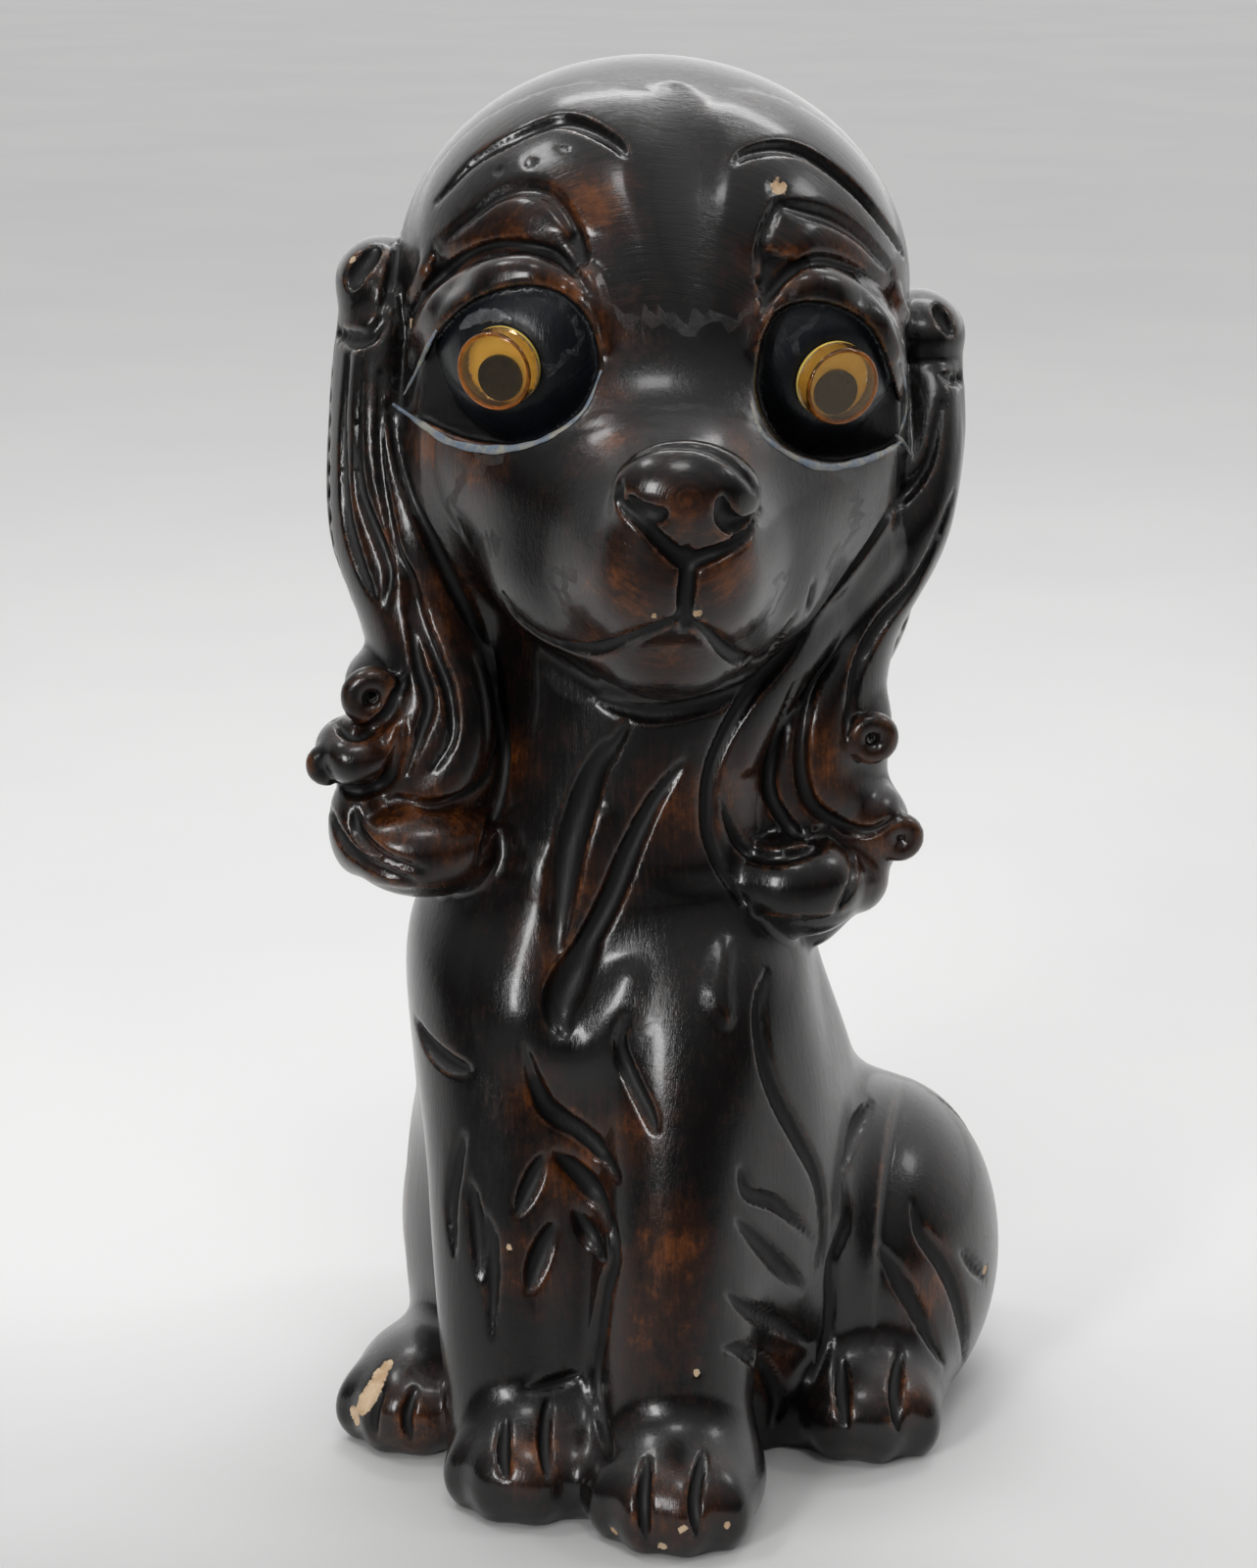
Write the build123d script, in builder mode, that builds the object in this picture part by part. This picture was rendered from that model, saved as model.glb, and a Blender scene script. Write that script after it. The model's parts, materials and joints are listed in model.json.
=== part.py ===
from build123d import *
import math
import os

# A sitting spaniel in hollow cast plaster, with two glued-on wiggle eyes.
# Millimetres and degrees. +Z is up and the dog faces -Y. Left and right are the dog's own.

# Where the body axis and the head stand
AXIS_X = -3.5
AXIS_Y = -4.0
HEAD_X = 11.0
HEAD_Y = -24.0
HEAD_HEIGHT = 179.0
HEAD_TURN = 17.5
HEAD_DROP = 4.0
HEAD_TILT = 3.0

# Plaster
WALL = 10.0
HEAD_WALL = 12.0

# Points that the outline of a lofted section runs through
SECTION_POINTS = 8

# Level sections of the trunk: height, centre x, centre y, half width, front depth, back depth
TRUNK = (
    (-12.0, 2.0, 16.0, 35.0, 38.0, 40.0),
    (20.0, 2.0, 15.0, 38.0, 42.0, 43.0),
    (55.0, 0.5, 6.0, 37.0, 37.0, 38.0),
    (85.0, -3.0, 0.0, 33.0, 29.0, 28.0),
    (112.0, 1.0, -2.0, 25.5, 24.0, 24.0),
    (138.0, 7.0, 0.0, 28.0, 24.0, 24.0),
    (152.0, 6.0, 4.0, 35.0, 24.0, 26.0),
    (174.0, 2.0, 8.0, 36.0, 24.0, 26.0),
)

# Level sections of the forelegs, as for the trunk
RIGHT_FORELEG = (
    (96.0, -13.0, -8.0, 12.0, 14.0, 14.0),
    (80.0, -14.0, -14.0, 17.0, 18.0, 18.0),
    (50.0, -13.0, -22.0, 15.0, 16.0, 16.0),
    (25.0, -12.0, -28.0, 13.0, 13.0, 13.0),
    (4.0, -10.0, -31.0, 12.0, 12.0, 12.0),
)
LEFT_FORELEG = (
    (96.0, 12.0, -8.0, 12.0, 14.0, 14.0),
    (80.0, 13.0, -14.0, 17.0, 18.0, 18.0),
    (50.0, 14.0, -24.0, 14.0, 16.0, 16.0),
    (25.0, 14.0, -31.0, 13.0, 13.0, 13.0),
    (4.0, 15.0, -35.0, 12.0, 12.0, 12.0),
)

# Rounded forms of the body: centre, radii
BODY_FORMS = {
    "right haunch": ((-23.0, 20.0, 27.0), (20.0, 30.0, 31.0)),
    "left haunch": ((38.0, 22.0, 22.5), (21.3, 30.0, 30.0)),
}

# Stub tail on the back, in a frame that looks backwards: centre, radii
TAIL_CENTRE = (-57.0, 6.0, 12.0)
TAIL_RADII = (11.0, 9.0, 13.0)

# Paws: centre, radii, and the toes fanned round the front of each
PAWS = {
    "right fore": ((-8.0, -36.0, 7.0), (12.0, 16.0, 10.0)),
    "left fore": ((17.0, -42.0, 7.0), (13.5, 15.0, 10.0)),
    "right hind": ((-32.0, -15.0, 7.5), (11.0, 17.0, 10.0)),
    "left hind": ((41.0, -2.0, 8.0), (13.0, 18.0, 10.0)),
}
TOE_COUNT = 4
TOE_SPREAD = 50.0
TOE_RADII = (4.0, 6.5, 6.5)
TOE_REACH = 0.64
TOE_HEIGHT = 5.5

# Rounded forms of the head, from the point midway between the eyes: centre, radii
HEAD_FORMS = {
    "cranium": ((1.2, 36.0, 7.2), (40.6, 41.0, 34.9)),
    "cheeks": ((1.0, 20.0, -10.0), (36.0, 30.0, 28.0)),
}
FACE_FORMS = {
    "jaw": ((0.0, -2.0, -30.0), (23.0, 20.0, 13.0)),
    "chin": ((0.5, -12.5, -37.0), (12.5, 14.5, 9.5)),
    "right lip": ((-6.0, -18.0, -25.5), (8.5, 14.0, 10.5)),
    "left lip": ((6.0, -18.0, -25.5), (8.5, 14.0, 10.5)),
    "nose": ((0.3, -30.5, -10.5), (10.8, 7.0, 7.6)),
}
EAR_BEDS = {
    "right": ((-31.0, 27.0, -36.0), (14.0, 15.0, 27.0)),
    "left": ((31.0, 27.0, -34.0), (15.0, 15.0, 27.0)),
}
EAR_ROOTS = {
    "right": ((-41.5, 38.0, 4.7), (7.5, 10.0, 7.1)),
    "left": ((44.8, 38.0, -0.3), (7.5, 10.0, 7.1)),
}
NOSTRIL_X = 6.0
NOSTRIL_Y = -37.0
NOSTRIL_Z = -12.0
NOSTRIL_RADII = (2.6, 3.0, 1.8)

# Upright sections of the muzzle: forward of the eyes, centre x, centre height, half width, depth below, depth above
MUZZLE = (
    (-10.0, 1.0, -17.0, 34.0, 25.0, 20.0),
    (6.0, 0.5, -19.0, 26.0, 20.5, 18.0),
    (18.0, 0.0, -20.0, 17.5, 17.0, 15.5),
    (26.0, 0.0, -20.0, 13.0, 14.5, 13.0),
    (31.5, 0.0, -19.0, 10.5, 11.5, 11.5),
    (35.0, 0.0, -18.0, 7.0, 7.5, 8.0),
)

# Level sections of the ears in the head's frame, as for the trunk
RIGHT_EAR = (
    (4.0, -42.0, 38.0, 6.0, 10.0, 12.0),
    (-14.0, -42.2, 34.0, 7.2, 14.0, 14.0),
    (-34.0, -39.0, 28.0, 9.8, 14.0, 14.0),
    (-51.0, -32.5, 20.0, 10.0, 13.0, 14.0),
    (-66.0, -32.0, 16.0, 13.0, 12.0, 14.0),
    (-78.0, -32.5, 15.0, 11.0, 9.0, 12.0),
    (-88.0, -30.0, 13.0, 5.0, 5.0, 6.0),
)
LEFT_EAR = (
    (-2.0, 45.5, 38.0, 6.5, 10.0, 12.0),
    (-16.0, 44.7, 34.0, 8.0, 14.0, 14.0),
    (-31.0, 40.5, 28.0, 9.4, 15.0, 14.0),
    (-45.0, 32.4, 20.0, 9.4, 14.0, 14.0),
    (-58.0, 27.0, 14.0, 13.0, 12.0, 14.0),
    (-74.0, 27.0, 12.0, 15.0, 11.0, 13.0),
    (-86.0, 28.0, 10.0, 11.0, 8.0, 10.0),
    (-95.0, 28.0, 9.0, 4.0, 4.0, 5.0),
)
# Curled locks at the ends of the ears: centre, radii
RIGHT_LOCKS = (
    ((-40.0, 18.0, -56.0), (6.0, 8.0, 6.5)),
    ((-44.5, 11.0, -64.5), (6.0, 7.0, 5.5)),
    ((-43.0, 11.0, -76.5), (5.0, 8.0, 8.5)),
    ((-33.0, 6.0, -79.0), (12.0, 8.0, 7.5)),
)
LEFT_LOCKS = (
    ((35.0, 13.0, -59.0), (6.0, 8.0, 8.0)),
    ((38.5, 9.0, -74.0), (6.0, 8.0, 7.0)),
    ((35.5, 7.0, -82.0), (6.0, 8.0, 6.0)),
    ((26.0, 1.0, -82.0), (10.5, 8.0, 8.0)),
)
# Half turn that puts the seam of a left lock on the ear's inner side
SEAM_TURN = 180.0
# Ringlets on the locks: centre, ring radius, thickness
RINGLETS = (
    ((-42.0, 8.5, -54.8), 2.9, 2.0),
    ((-48.5, 8.0, -66.0), 1.9, 1.6),
    ((36.3, 3.0, -57.6), 2.5, 1.8),
    ((42.0, 3.0, -74.0), 2.2, 1.8),
)

# Eyes: the flat seat of each drum in the head's frame, and which way it looks
SEATS = {"right": (-24.5, -1.2, 0.8), "left": (24.8, -0.8, 0.4)}
EYE_TURN = {"right": -28.5, "left": 18.5}
EYE_DROP = 5.6
EYEBALL_RADIUS = 17.0
SEAT_DEPTH = 1.5
OPENING_HALF_WIDTH = 13.5
OPENING_HALF_HEIGHT = 11.5
LID_THICKNESS = 2.0
LID_WIDTH = 3.5

# Hollow under each brow, from the seats: centre, radii
BROW_HOLLOWS = {"right": (4.0, 23.0, -9.0), "left": (-5.0, 23.0, -5.6)}
BROW_RADII = (14.0, 5.0, 5.0)

# Wiggle eyes
DRUM_RADIUS = 6.0
DRUM_HEIGHT = 3.4
DRUM_WALL = 0.7
DRUM_EDGE = 0.6
BACK_THICKNESS = 0.6
GLUE_THICKNESS = 0.4
GLUE_RADIUS = 5.0
PUPIL_RADIUS = 3.5
PUPIL_THICKNESS = 0.8
CLEARANCE = 0.25


def ellipsoid(frame, centre, radii, turn=0):
    """An ellipsoid whose radii lie along the axes of a frame, with its seam turned about the third."""
    with BuildPart() as form:
        Sphere(1)
        scale(by=radii)
    return frame.location * Pos(*centre) * Rot(0, 0, turn) * form.part


def oval(x, y, half_width, front, back):
    """Points round an oval that has its own depth to the front and to the back."""
    turns = [2 * math.pi * number / SECTION_POINTS for number in range(SECTION_POINTS)]
    return [
        (x + half_width * math.cos(turn), y + (back if turn < math.pi else front) * math.sin(turn))
        for turn in turns
    ]


def column(frame, sections, inset=0.0):
    """A loft through sections square to a frame's axis, each drawn in by an inset."""
    with BuildPart() as form:
        for height, x, y, half_width, front, back in sections:
            with BuildSketch(frame.offset(height)):
                with BuildLine():
                    Spline(*oval(x, y, half_width - inset, front - inset, back - inset), periodic=True)
                make_face()
        loft()
    return form.part


def toes(frame, centre, radii):
    """The toes of one paw, fanned round its front."""
    step = 2 * TOE_SPREAD / (TOE_COUNT - 1)
    fan = []
    for number in range(TOE_COUNT):
        turn = Rot(0, 0, number * step - TOE_SPREAD)
        foot = Plane(frame.location * Pos(centre[0], centre[1], TOE_HEIGHT) * turn)
        reach = TOE_REACH * (radii[0] + radii[1]) / 2
        fan.append(ellipsoid(foot, (0, -reach, 0), TOE_RADII))
    return fan


def lid(eye):
    """A lid that wraps the eyeball, before its opening is cut."""
    ball = eye.offset(-ball_depth)
    with BuildPart() as form:
        with Locations(ball.location):
            Sphere(EYEBALL_RADIUS + LID_THICKNESS)
        with BuildSketch(ball):
            Ellipse(OPENING_HALF_WIDTH + LID_WIDTH, OPENING_HALF_HEIGHT + LID_WIDTH)
        extrude(amount=2 * EYEBALL_RADIUS, mode=Mode.INTERSECT)
    return form.part


def eye_plane(side):
    """The plane of one drum's seat: its axis looks out of the head and its x axis is level."""
    turn = Rot(0, 0, EYE_TURN[side]) * Rot(90 + EYE_DROP, 0, 0)
    seat = Plane(head.location * Pos(*SEATS[side]) * turn)
    return Plane(seat.origin, x_dir=Vector(0, 0, 1).cross(seat.z_dir), z_dir=seat.z_dir)


body = Plane((AXIS_X, AXIS_Y, 0))
head = Plane(
    body.location
    * Pos(HEAD_X, HEAD_Y, HEAD_HEIGHT)
    * Rot(0, 0, HEAD_TURN)
    * Rot(HEAD_DROP, 0, 0)
    * Rot(0, HEAD_TILT, 0)
)
rear = Plane(body.location * Rot(0, 0, -90))
snout = Plane(head.location * Rot(90, 0, 0))
eyes = {side: eye_plane(side) for side in SEATS}
ball_depth = EYEBALL_RADIUS - SEAT_DEPTH

# Forms of the casting, from the trunk outwards
forms = [column(body, TRUNK)]
forms += [ellipsoid(head, centre, radii) for centre, radii in EAR_BEDS.values()]
forms += [column(body, RIGHT_FORELEG), column(body, LEFT_FORELEG)]
forms += [ellipsoid(body, centre, radii) for centre, radii in BODY_FORMS.values()]
forms.append(ellipsoid(rear, TAIL_CENTRE, TAIL_RADII))
forms += [ellipsoid(head, centre, radii) for centre, radii in HEAD_FORMS.values()]
forms.append(column(snout, MUZZLE))
forms += [ellipsoid(head, centre, radii) for centre, radii in FACE_FORMS.values()]
forms += [column(head, RIGHT_EAR), column(head, LEFT_EAR)]
forms += [ellipsoid(head, centre, radii) for centre, radii in EAR_ROOTS.values()]
forms += [ellipsoid(head, centre, radii) for centre, radii in RIGHT_LOCKS]
forms += [ellipsoid(head, centre, radii, SEAM_TURN) for centre, radii in LEFT_LOCKS]
for centre, radii in PAWS.values():
    forms.append(ellipsoid(body, centre, radii))
    forms += toes(body, centre, radii)

# Hollow left by pouring the slip out: through the base, up the trunk and into the head
cranium_centre, cranium_radii = HEAD_FORMS["cranium"]
hollow_radii = tuple(radius - HEAD_WALL for radius in cranium_radii)
hollow = [column(body, TRUNK, WALL), ellipsoid(head, cranium_centre, hollow_radii)]

nostrils = [ellipsoid(head, (side * NOSTRIL_X, NOSTRIL_Y, NOSTRIL_Z), NOSTRIL_RADII) for side in (-1, 1)]

with BuildPart() as plaster_casting:
    for form in forms:
        add(form)
    for centre, radius, thickness in RINGLETS:
        with Locations(head.location * Pos(*centre) * Rot(90, 0, 0)):
            Torus(radius, thickness)
    for side, eye in eyes.items():
        add(ellipsoid(eye, BROW_HOLLOWS[side], BROW_RADII), mode=Mode.SUBTRACT)
        add(lid(eye))
        # Opening between the lids, down to the eyeball
        with BuildSketch(eye.offset(-ball_depth)):
            Ellipse(OPENING_HALF_WIDTH, OPENING_HALF_HEIGHT)
        extrude(amount=2 * EYEBALL_RADIUS, mode=Mode.SUBTRACT)
        with Locations(eye.offset(-ball_depth).location):
            Sphere(EYEBALL_RADIUS)
        # Seat: the eyeball is flat under the drum
        with BuildSketch(eye):
            Circle(EYEBALL_RADIUS)
        extrude(amount=EYEBALL_RADIUS, mode=Mode.SUBTRACT)
    add(nostrils, mode=Mode.SUBTRACT)
    add(hollow, mode=Mode.SUBTRACT)
    split(bisect_by=Plane.XY, keep=Keep.TOP)

os.makedirs("parts", exist_ok=True)
plaster_casting.part.label = "plaster_casting"
export_step(plaster_casting.part, "parts/plaster_casting.step")

for side, eye in eyes.items():
    glue_face = eye.offset(GLUE_THICKNESS)
    back_face = glue_face.offset(BACK_THICKNESS)
    bore = DRUM_RADIUS - DRUM_WALL

    with BuildPart() as eye_glue:
        with BuildSketch(eye):
            Circle(GLUE_RADIUS)
        extrude(amount=GLUE_THICKNESS)
    eye_glue.part.label = f"{side}_eye_glue"
    export_step(eye_glue.part, f"parts/{side}_eye_glue.step")

    with BuildPart() as eye_back:
        with BuildSketch(glue_face):
            Circle(DRUM_RADIUS)
        extrude(amount=BACK_THICKNESS)
    eye_back.part.label = f"{side}_eye_back"
    export_step(eye_back.part, f"parts/{side}_eye_back.step")

    with BuildPart() as eye_dome:
        with BuildSketch(back_face):
            Circle(DRUM_RADIUS)
        extrude(amount=DRUM_HEIGHT)
        front = eye_dome.faces().sort_by(Axis(eye.origin, eye.z_dir))[-1]
        fillet(front.edges(), DRUM_EDGE)
        with BuildSketch(back_face):
            Circle(bore)
        extrude(amount=DRUM_HEIGHT - DRUM_WALL, mode=Mode.SUBTRACT)
    eye_dome.part.label = f"{side}_eye_dome"
    export_step(eye_dome.part, f"parts/{side}_eye_dome.step")

    with BuildPart() as pupil:
        with BuildSketch(back_face.offset(CLEARANCE)):
            with Locations((0, PUPIL_RADIUS + CLEARANCE - bore)):
                Circle(PUPIL_RADIUS)
        extrude(amount=PUPIL_THICKNESS)
    pupil.part.label = f"{side}_pupil"
    export_step(pupil.part, f"parts/{side}_pupil.step")
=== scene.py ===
import json
import math
import bpy
import numpy as np
import openvdb
from mathutils import Matrix, Vector


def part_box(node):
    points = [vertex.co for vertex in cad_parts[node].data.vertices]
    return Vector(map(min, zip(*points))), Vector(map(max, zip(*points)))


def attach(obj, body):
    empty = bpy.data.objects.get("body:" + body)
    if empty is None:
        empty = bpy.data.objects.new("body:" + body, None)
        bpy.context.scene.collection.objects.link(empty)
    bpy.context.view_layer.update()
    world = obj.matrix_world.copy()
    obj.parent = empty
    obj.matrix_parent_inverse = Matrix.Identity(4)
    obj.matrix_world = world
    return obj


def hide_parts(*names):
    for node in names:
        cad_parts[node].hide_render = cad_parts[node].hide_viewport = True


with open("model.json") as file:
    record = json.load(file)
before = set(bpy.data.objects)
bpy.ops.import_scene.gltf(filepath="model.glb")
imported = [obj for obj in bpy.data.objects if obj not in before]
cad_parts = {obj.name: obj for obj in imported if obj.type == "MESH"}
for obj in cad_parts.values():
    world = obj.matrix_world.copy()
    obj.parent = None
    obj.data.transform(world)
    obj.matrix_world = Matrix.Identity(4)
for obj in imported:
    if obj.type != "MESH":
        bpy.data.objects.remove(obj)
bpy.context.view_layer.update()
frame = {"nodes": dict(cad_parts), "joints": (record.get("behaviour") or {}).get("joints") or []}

# A sitting spaniel in stained plaster, with two amber wiggle eyes.
# Millimetres in the part's own frame until a mesh is made, then metres. Left and right are the dog's own.
# Pixels are those of the photograph, 1283 wide and 1600 high.
MM = 0.001
PITCH = 0.6
TRIANGLES = 188000
FAR = 12.0
BAND = 3.0
GRID_LOW = (-60.0, -70.0, -3.0)
GRID_HIGH = (60.0, 70.0, 229.0)

# Camera of the photograph
PHOTO_WIDTH = 1283
PHOTO_HEIGHT = 1600
FOCAL = 3850.0
SENSOR = 36.0
AZIMUTH = 12.0
ELEVATION = 15.0
DISTANCE = 600.0
TARGET = (-3.5, -4.0, 112.0)

# Where the body axis and the head stand
AXIS = (-3.5, -4.0, 0.0)
HEAD_PLACE = (11.0, -24.0, 179.0)
HEAD_TURN = 17.5
HEAD_DROP = 4.0
HEAD_TILT = 3.0
WALL = 10.0
HEAD_WALL = 12.0

# Level sections of the trunk: height, centre x, centre y, half width, front depth, back depth
TRUNK = (
    (-12, 2, 16, 35, 38, 40),
    (20, 2, 15, 38, 42, 43),
    (55, 0.5, 6, 37, 37, 38),
    (85, -3, 0, 33, 29, 28),
    (112, 1, -2, 25.5, 24, 24),
    (138, 7, 0, 28, 24, 24),
    (152, 6, 4, 35, 24, 26),
    (174, 2, 8, 36, 24, 26),
)
RIGHT_FORELEG = (
    (4, -10, -31, 12, 12, 12),
    (25, -12, -28, 13, 13, 13),
    (50, -13, -22, 15, 16, 16),
    (80, -14, -14, 17, 18, 18),
    (96, -13, -8, 12, 14, 14),
)
LEFT_FORELEG = (
    (4, 15, -35, 12, 12, 12),
    (25, 14, -31, 13, 13, 13),
    (50, 14, -24, 14, 16, 16),
    (80, 13, -14, 17, 18, 18),
    (96, 12, -8, 12, 14, 14),
)
LEFT_ELBOW = ((21, -12, 46), (14, 15, 34))
HAUNCHES = (((-23, 20, 27), (20, 30, 31)), ((38, 22, 22.5), (21.3, 30, 30)))
TAIL = ((6, 57, 12), (9, 11, 13))
PAWS = (
    ((-8, -36, 7), (12, 16, 10)),
    ((17, -42, 7), (13.5, 15, 10)),
    ((-32, -15, 7.5), (11, 17, 10)),
    ((41, -2, 8), (13, 18, 10)),
)
TOE_COUNT = 4
TOE_SPREAD = 50.0
TOE_RADII = (4.0, 6.5, 6.5)
TOE_REACH = 0.64
TOE_HEIGHT = 5.5

# Rounded forms of the head, from the point midway between the eyes: centre, radii, blend
CRANIUM = ((1.2, 36.0, 7.2), (40.6, 41.0, 34.9))
HEAD_FORMS = (
    (*CRANIUM, 10.0),
    ((1.0, 20.0, -10.0), (36.0, 30.0, 28.0), 10.0),
)
FACE_FORMS = (
    ((0, -2, -30), (25.5, 21, 15.5), 6),
    ((-6, -18, -25.5), (8.5, 14, 10.5), 5),
    ((6, -18, -25.5), (8.5, 14, 10.5), 5),
    ((0.5, -12.5, -37), (12.5, 14.5, 9.5), 4),
    ((0.3, -30.5, -10.5), (10.8, 7, 7.6), 2.5),
)
EAR_BEDS = (((-31, 27, -36), (14, 15, 27)), ((31, 27, -34), (15, 15, 27)))
EAR_ROOTS = (((-41.5, 38, 4.7), (7.5, 10, 7.1)), ((44.8, 38, -0.3), (7.5, 10, 7.1)))
# Upright sections of the muzzle: forward of the eyes, centre x, centre height, half width, below, above
MUZZLE = (
    (-10, 1, -17, 34, 25, 20),
    (6, 0.5, -19, 26, 20.5, 18),
    (18, 0, -20, 17.5, 17, 15.5),
    (26, 0, -20, 13, 14.5, 13),
    (31.5, 0, -19, 10.5, 11.5, 11.5),
    (35, 0, -18, 7, 7.5, 8),
)
# Level sections of the ears in the head's frame, as for the trunk
RIGHT_EAR = (
    (-88, -30, 13, 5, 5, 6),
    (-78, -32.5, 15, 11, 9, 12),
    (-66, -32, 16, 13, 12, 14),
    (-51, -32.5, 20, 10, 13, 14),
    (-34, -39, 28, 9.8, 14, 14),
    (-14, -42.2, 34, 7.2, 14, 14),
    (4, -42, 38, 6, 10, 12),
)
LEFT_EAR = (
    (-95, 28, 9, 4, 4, 5),
    (-86, 28, 10, 11, 8, 10),
    (-74, 27, 12, 15, 11, 13),
    (-58, 27, 14, 13, 12, 14),
    (-45, 32.4, 20, 9.4, 14, 14),
    (-31, 40.5, 28, 9.4, 15, 14),
    (-16, 44.7, 34, 8, 14, 14),
    (-2, 45.5, 38, 6.5, 10, 12),
)
# Curled locks at the ends of the ears: centre, radii
EAR_LOCKS = (
    ((-40, 18, -56), (6, 8, 6.5)),
    ((-44.5, 11, -64.5), (6, 7, 5.5)),
    ((-43, 11, -76.5), (5, 8, 8.5)),
    ((-33, 6, -79), (12, 8, 7.5)),
    ((35, 13, -59), (6, 8, 8)),
    ((38.5, 9, -74), (6, 8, 7)),
    ((35.5, 7, -82), (6, 8, 6)),
    ((26, 1, -82), (10.5, 8, 8)),
)
# Ringlets: centre, ring radius, thickness
RINGLETS = (
    ((-42, 8.5, -54.8), 2.9, 2),
    ((-48.5, 8, -66), 1.9, 1.6),
    ((36.3, 3, -57.6), 2.5, 1.8),
    ((42, 3, -74), 2.2, 1.8),
)

# Eyes
GLUE_THICKNESS = 0.4
EYEBALL_RADIUS = 17.0
SEAT_DEPTH = 1.5
LID_THICKNESS = 2.0
LID_WIDTH = 3.5
LID_REACH = 6.0
LID_EDGE = 2.0
GAP_EDGE = 1.0
SEAT_EDGE = 0.5
EYE_OUTLINES = {
    "right": (
        (400, 430), (425, 395), (440, 365), (465, 335), (500, 315), (540, 308), (575, 318), (600, 345),
        (610, 380), (607, 410), (590, 440), (560, 462), (520, 472), (480, 468), (445, 455), (415, 440),
    ),
    "left": (
        (780, 365), (775, 420), (800, 470), (850, 490), (900, 480), (925, 462), (920, 425), (912, 395),
        (895, 355), (865, 332), (825, 325), (795, 337),
    ),
}
# The sunk plane under each brow: the arch that it starts from, and the line back through the eye
BROW_ARCHES = {
    "right": (
        (444, 266), (471, 238), (500, 214), (529, 203), (555, 207), (575, 224), (591, 250), (599, 276),
    ),
    "left": (
        (774, 300), (779, 266), (790, 232), (800, 218), (825, 224), (855, 233), (885, 253), (914, 288),
    ),
}
BROW_FLOORS = {"right": ((580, 330), (510, 370), (430, 340)), "left": ((905, 350), (840, 370), (785, 340))}
BROW_DEPTH = 2.6
BROW_EDGE = 1.2
BROW_FADE = 9.0
BROW_REACH = 30.0

# Strokes of the modelling tool, on the photograph's pixels: half width, depth or height, points
RIDGES = {
    "right forehead": (9, 1.4, ((462, 220), (500, 182), (560, 162), (620, 182))),
    "left forehead": (9, 1.4, ((770, 190), (815, 188), (868, 214), (910, 258))),
    "right ear roll": (3, 1.6, ((338, 792), (362, 806), (392, 792), (407, 762))),
    "right ear lobe": (4.2, 1.6, ((368, 880), (410, 896), (460, 886), (494, 858))),
    "left ear long lock": (3.6, 1.4, (
        (868, 690), (843, 735), (838, 790), (851, 830), (888, 850), (914, 836),
    )),
    "left ear lobe": (4.6, 1.6, ((760, 898), (800, 920), (842, 912), (862, 890))),
    "right brow": (2.6, 2.2, (
        (417, 318), (440, 284), (468, 258), (497, 240), (525, 234), (553, 241), (577, 264), (597, 300),
        (606, 330),
    )),
    "left brow": (2.5, 2.2, (
        (778, 322), (791, 288), (810, 266), (834, 256), (858, 261), (884, 277), (906, 302), (928, 338),
    )),
    "right upper lid": (2.3, 1.6, (
        (416, 385), (426, 352), (446, 322), (476, 300), (510, 290), (546, 291), (582, 306), (606, 334),
        (614, 366),
    )),
    "left upper lid": (2.2, 1.5, (
        (772, 372), (782, 338), (806, 312), (838, 302), (872, 311), (900, 338), (919, 375),
    )),
    "chest loop": (6, 1.8, (
        (546, 912), (539, 972), (533, 1022), (533, 1055), (543, 1078), (559, 1096), (586, 1102),
        (606, 1092), (622, 1062), (639, 1028),
    )),
    "chest blade": (2.6, 1.3, ((612, 860), (599, 906), (586, 965), (572, 1005))),
    "flank crescent": (1.6, 1, ((741, 992), (735, 1038), (742, 1068))),
    "right front band": (4.2, 2, (
        (393, 320), (382, 400), (392, 500), (416, 590), (446, 650), (474, 708), (480, 772), (462, 822),
        (423, 843),
    )),
    "left front band": (4.6, 1.8, (
        (972, 410), (962, 490), (930, 560), (880, 630), (830, 690), (790, 745), (765, 800),
    )),
}
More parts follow.
